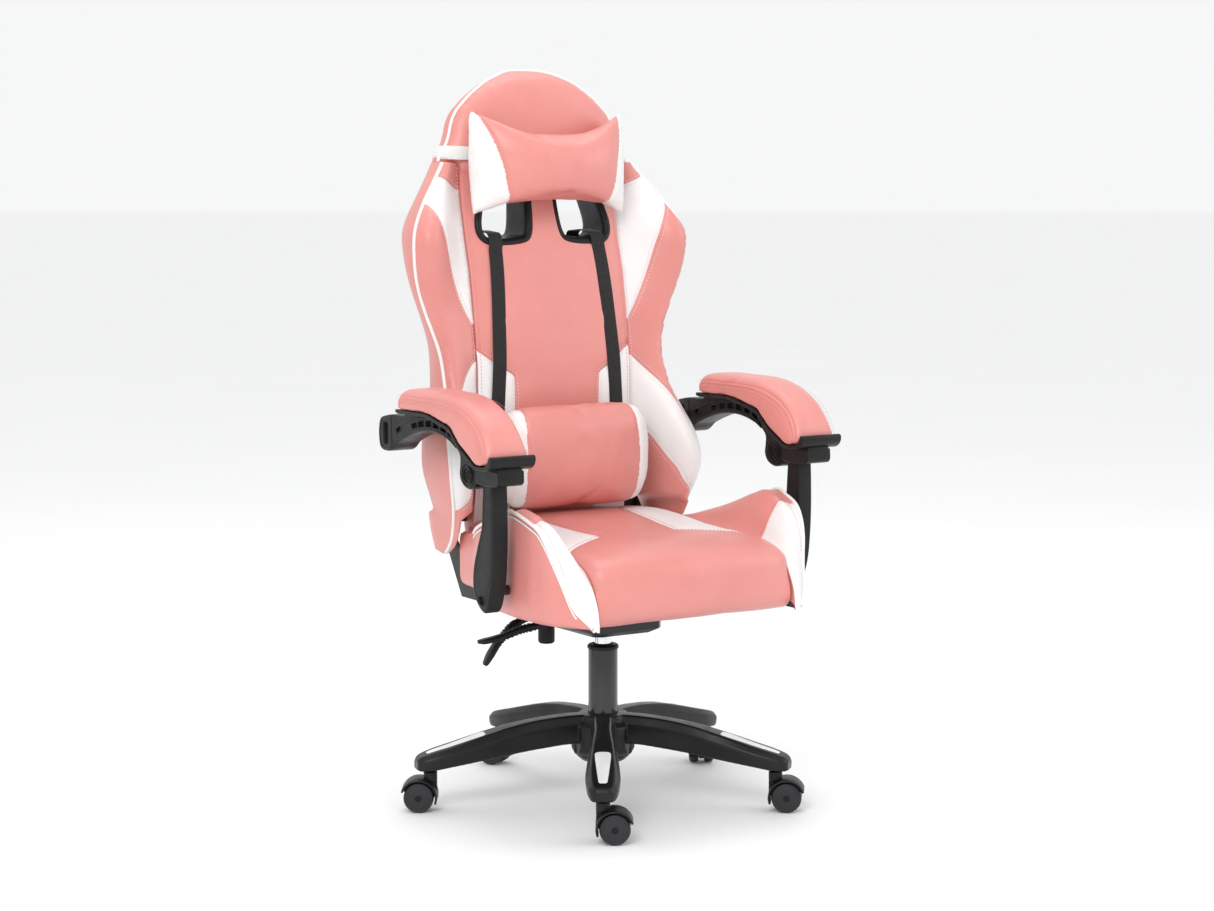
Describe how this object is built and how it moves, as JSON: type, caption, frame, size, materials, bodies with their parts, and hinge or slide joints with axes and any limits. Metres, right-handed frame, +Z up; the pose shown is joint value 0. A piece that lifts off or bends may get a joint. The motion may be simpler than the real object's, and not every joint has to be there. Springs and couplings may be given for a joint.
{
  "type": "gaming chair",
  "caption": "Gaming chair with a padded bucket seat, tall reclining back, linked padded arms, head and lumbar pillows, gas lift and a five-leg base on swivelling casters.",
  "frame": {"origin": "centre of the footprint at floor height", "axes": "+Z up, the front of the chair faces -Y, the sitter's left is +X"},
  "size_m": [0.6855, 0.6545, 1.231],
  "materials": {
    "pink_leather": "satin",
    "white_leather": "satin",
    "black_plastic": "satin moulded",
    "black_nylon": "satin moulded",
    "silver_plastic": "satin",
    "black_steel": "gloss powder coat",
    "chrome": "polished",
    "zinc": "zinc plated",
    "webbing": "woven",
    "white_elastic": "woven",
    "black_fabric": "non-woven lining",
    "wheel_grey": "satin"
  },
  "bodies": {
    "base": {"base_star": "black_nylon", "leg_inlay_1": "silver_plastic", "leg_inlay_2": "silver_plastic", "leg_inlay_3": "silver_plastic", "leg_inlay_4": "silver_plastic", "leg_inlay_5": "silver_plastic", "column_tube": "black_steel", "column_bush": "black_plastic", "thrust_bearing": "zinc"},
    "spindle": {"piston_rod": "chrome", "retaining_clip": "zinc"},
    "lift": {"pressure_tube": "chrome", "mechanism_housing": "black_steel", "tilt_shaft": "zinc"},
    "valve": {"valve_button": "zinc"},
    "height_lever": {"height_lever": "black_plastic"},
    "tilt_lever": {"tilt_lever": "black_plastic"},
    "tension_knob": {"tension_knob": "black_plastic"},
    "seat": {"seat_plate": "black_steel", "seat_frame": "black_steel", "seat_cushion": "pink_leather", "seat_bolster_l": "pink_leather", "seat_bolster_r": "pink_leather"},
    "back": {"back_frame": "black_steel", "back_cushion": "pink_leather", "back_cover": "black_fabric", "back_wing_l": "pink_leather", "back_wing_r": "pink_leather", "hole_trim_l": "black_plastic", "hole_trim_r": "black_plastic", "strap_l": "webbing", "strap_r": "webbing", "head_strap": "white_elastic"},
    "strut_left": {"strut_l": "black_plastic"},
    "strut_right": {"strut_r": "black_plastic"},
    "arm_left": {"arm_frame_l": "black_plastic", "arm_pad_l": "pink_leather"},
    "arm_right": {"arm_frame_r": "black_plastic", "arm_pad_r": "pink_leather"},
    "head_pillow": {"head_pillow": "pink_leather"},
    "lumbar_pillow": {"lumbar_pillow": "pink_leather"},
    "caster_1": {"caster_1": "black_plastic"},
    "wheel_1a": {"wheel_1a": "wheel_grey"},
    "wheel_1b": {"wheel_1b": "wheel_grey"},
    "caster_2": {"caster_2": "black_plastic"},
    "wheel_2a": {"wheel_2a": "wheel_grey"},
    "wheel_2b": {"wheel_2b": "wheel_grey"},
    "caster_3": {"caster_3": "black_plastic"},
    "wheel_3a": {"wheel_3a": "wheel_grey"},
    "wheel_3b": {"wheel_3b": "wheel_grey"},
    "caster_4": {"caster_4": "black_plastic"},
    "wheel_4a": {"wheel_4a": "wheel_grey"},
    "wheel_4b": {"wheel_4b": "wheel_grey"},
    "caster_5": {"caster_5": "black_plastic"},
    "wheel_5a": {"wheel_5a": "wheel_grey"},
    "wheel_5b": {"wheel_5b": "wheel_grey"}
  },
  "joints": [
    {"name": "swivel", "type": "hinge", "parent": "base", "child": "spindle", "pos_m": [0.003, -0.027, 0.075], "axis": [0, 0, 1], "continuous": true},
    {"name": "height", "type": "slide", "parent": "spindle", "child": "lift", "axis": [0, 0, 1], "range_m": [0, 0.08]},
    {"name": "valve_press", "type": "slide", "parent": "lift", "child": "valve", "axis": [0, 0, -1], "range_m": [0, 0.004]},
    {"name": "height_lever_lift", "type": "hinge", "parent": "lift", "child": "height_lever", "pos_m": [-0.041, -0.027, 0.318], "axis": [0, 1, 0], "range_deg": [0, 5.2]},
    {"name": "tilt_lever_turn", "type": "hinge", "parent": "lift", "child": "tilt_lever", "pos_m": [-0.057, 0.039, 0.31], "axis": [1, 0, 0], "range_deg": [0, 25]},
    {"name": "tension_turn", "type": "hinge", "parent": "lift", "child": "tension_knob", "pos_m": [-0.051, 0.069, 0.29], "axis": [0, 0, 1], "continuous": true},
    {"name": "rock", "type": "hinge", "parent": "lift", "child": "seat", "pos_m": [0.003, 0.089, 0.312], "axis": [-1, 0, 0], "range_deg": [0, 12], "stiffness_Nm_per_rad": 60, "springref_deg": -5.73},
    {"name": "recline", "type": "hinge", "parent": "seat", "child": "back", "pos_m": [0.003, 0.164, 0.44], "axis": [-1, 0, 0], "range_deg": [0, 35]},
    {"name": "strut_swing_left", "type": "hinge", "parent": "seat", "child": "strut_left", "pos_m": [0.299, -0.161, 0.398], "axis": [-1, 0, 0], "range_deg": [0, 35]},
    {"name": "arm_level_left", "type": "hinge", "parent": "strut_left", "child": "arm_left", "pos_m": [0.299, -0.179, 0.583], "axis": [-1, 0, 0], "range_deg": [-35, 0]},
    {"name": "strut_swing_right", "type": "hinge", "parent": "seat", "child": "strut_right", "pos_m": [-0.293, -0.161, 0.398], "axis": [-1, 0, 0], "range_deg": [0, 35]},
    {"name": "arm_level_right", "type": "hinge", "parent": "strut_right", "child": "arm_right", "pos_m": [-0.293, -0.179, 0.583], "axis": [-1, 0, 0], "range_deg": [-35, 0]},
    {"name": "head_pillow_slide", "type": "slide", "parent": "back", "child": "head_pillow", "axis": [0, 0.05, 0.9987], "range_m": [0, 0.03]},
    {"name": "lumbar_pillow_slide", "type": "slide", "parent": "back", "child": "lumbar_pillow", "axis": [0, 0, 1], "range_m": [0, 0.08]},
    {"name": "caster_swivel_1", "type": "hinge", "parent": "base", "child": "caster_1", "pos_m": [-0.15762, -0.28275, 0.07], "axis": [0, 0, 1], "continuous": true},
    {"name": "wheel_roll_1a", "type": "hinge", "parent": "caster_1", "child": "wheel_1a", "pos_m": [-0.14152, -0.29284, 0.025], "axis": [0.5314, 0.8471, 0], "continuous": true},
    {"name": "wheel_roll_1b", "type": "hinge", "parent": "caster_1", "child": "wheel_1b", "pos_m": [-0.14152, -0.29284, 0.025], "axis": [0.5314, 0.8471, 0], "continuous": true},
    {"name": "caster_swivel_2", "type": "hinge", "parent": "base", "child": "caster_2", "pos_m": [0.1966, -0.25878, 0.07], "axis": [0, 0, 1], "continuous": true},
    {"name": "wheel_roll_2a", "type": "hinge", "parent": "caster_2", "child": "wheel_2a", "pos_m": [0.21157, -0.27048, 0.025], "axis": [0.6157, 0.788, 0], "continuous": true},
    {"name": "wheel_roll_2b", "type": "hinge", "parent": "caster_2", "child": "wheel_2b", "pos_m": [0.21157, -0.27048, 0.025], "axis": [0.6157, 0.788, 0], "continuous": true},
    {"name": "caster_swivel_3", "type": "hinge", "parent": "base", "child": "caster_3", "pos_m": [0.28326, 0.0855, 0.07], "axis": [0, 0, 1], "continuous": true},
    {"name": "wheel_roll_3a", "type": "hinge", "parent": "caster_3", "child": "wheel_3a", "pos_m": [0.29276, 0.10195, 0.025], "axis": [-0.866, 0.5, 0], "continuous": true},
    {"name": "wheel_roll_3b", "type": "hinge", "parent": "caster_3", "child": "wheel_3b", "pos_m": [0.29276, 0.10195, 0.025], "axis": [-0.866, 0.5, 0], "continuous": true},
    {"name": "caster_swivel_4", "type": "hinge", "parent": "base", "child": "caster_4", "pos_m": [-0.01738, 0.27431, 0.07], "axis": [0, 0, 1], "continuous": true},
    {"name": "wheel_roll_4a", "type": "hinge", "parent": "caster_4", "child": "wheel_4a", "pos_m": [-0.02688, 0.29077, 0.025], "axis": [-0.866, -0.5, 0], "continuous": true},
    {"name": "wheel_roll_4b", "type": "hinge", "parent": "caster_4", "child": "wheel_4b", "pos_m": [-0.02688, 0.29077, 0.025], "axis": [-0.866, -0.5, 0], "continuous": true},
    {"name": "caster_swivel_5", "type": "hinge", "parent": "base", "child": "caster_5", "pos_m": [-0.28986, 0.04673, 0.07], "axis": [0, 0, 1], "continuous": true},
    {"name": "wheel_roll_5a", "type": "hinge", "parent": "caster_5", "child": "wheel_5a", "pos_m": [-0.30596, 0.05682, 0.025], "axis": [-0.5314, -0.8471, 0], "continuous": true},
    {"name": "wheel_roll_5b", "type": "hinge", "parent": "caster_5", "child": "wheel_5b", "pos_m": [-0.30596, 0.05682, 0.025], "axis": [-0.5314, -0.8471, 0], "continuous": true}
  ],
  "couplings": [
    {"joint": "valve_press", "follows": "height_lever_lift", "m_per_rad": 0.044},
    {"joint": "strut_swing_left", "follows": "recline", "ratio": 1},
    {"joint": "strut_swing_right", "follows": "recline", "ratio": 1},
    {"joint": "arm_level_left", "follows": "recline", "ratio": -1},
    {"joint": "arm_level_right", "follows": "recline", "ratio": -1}
  ]
}
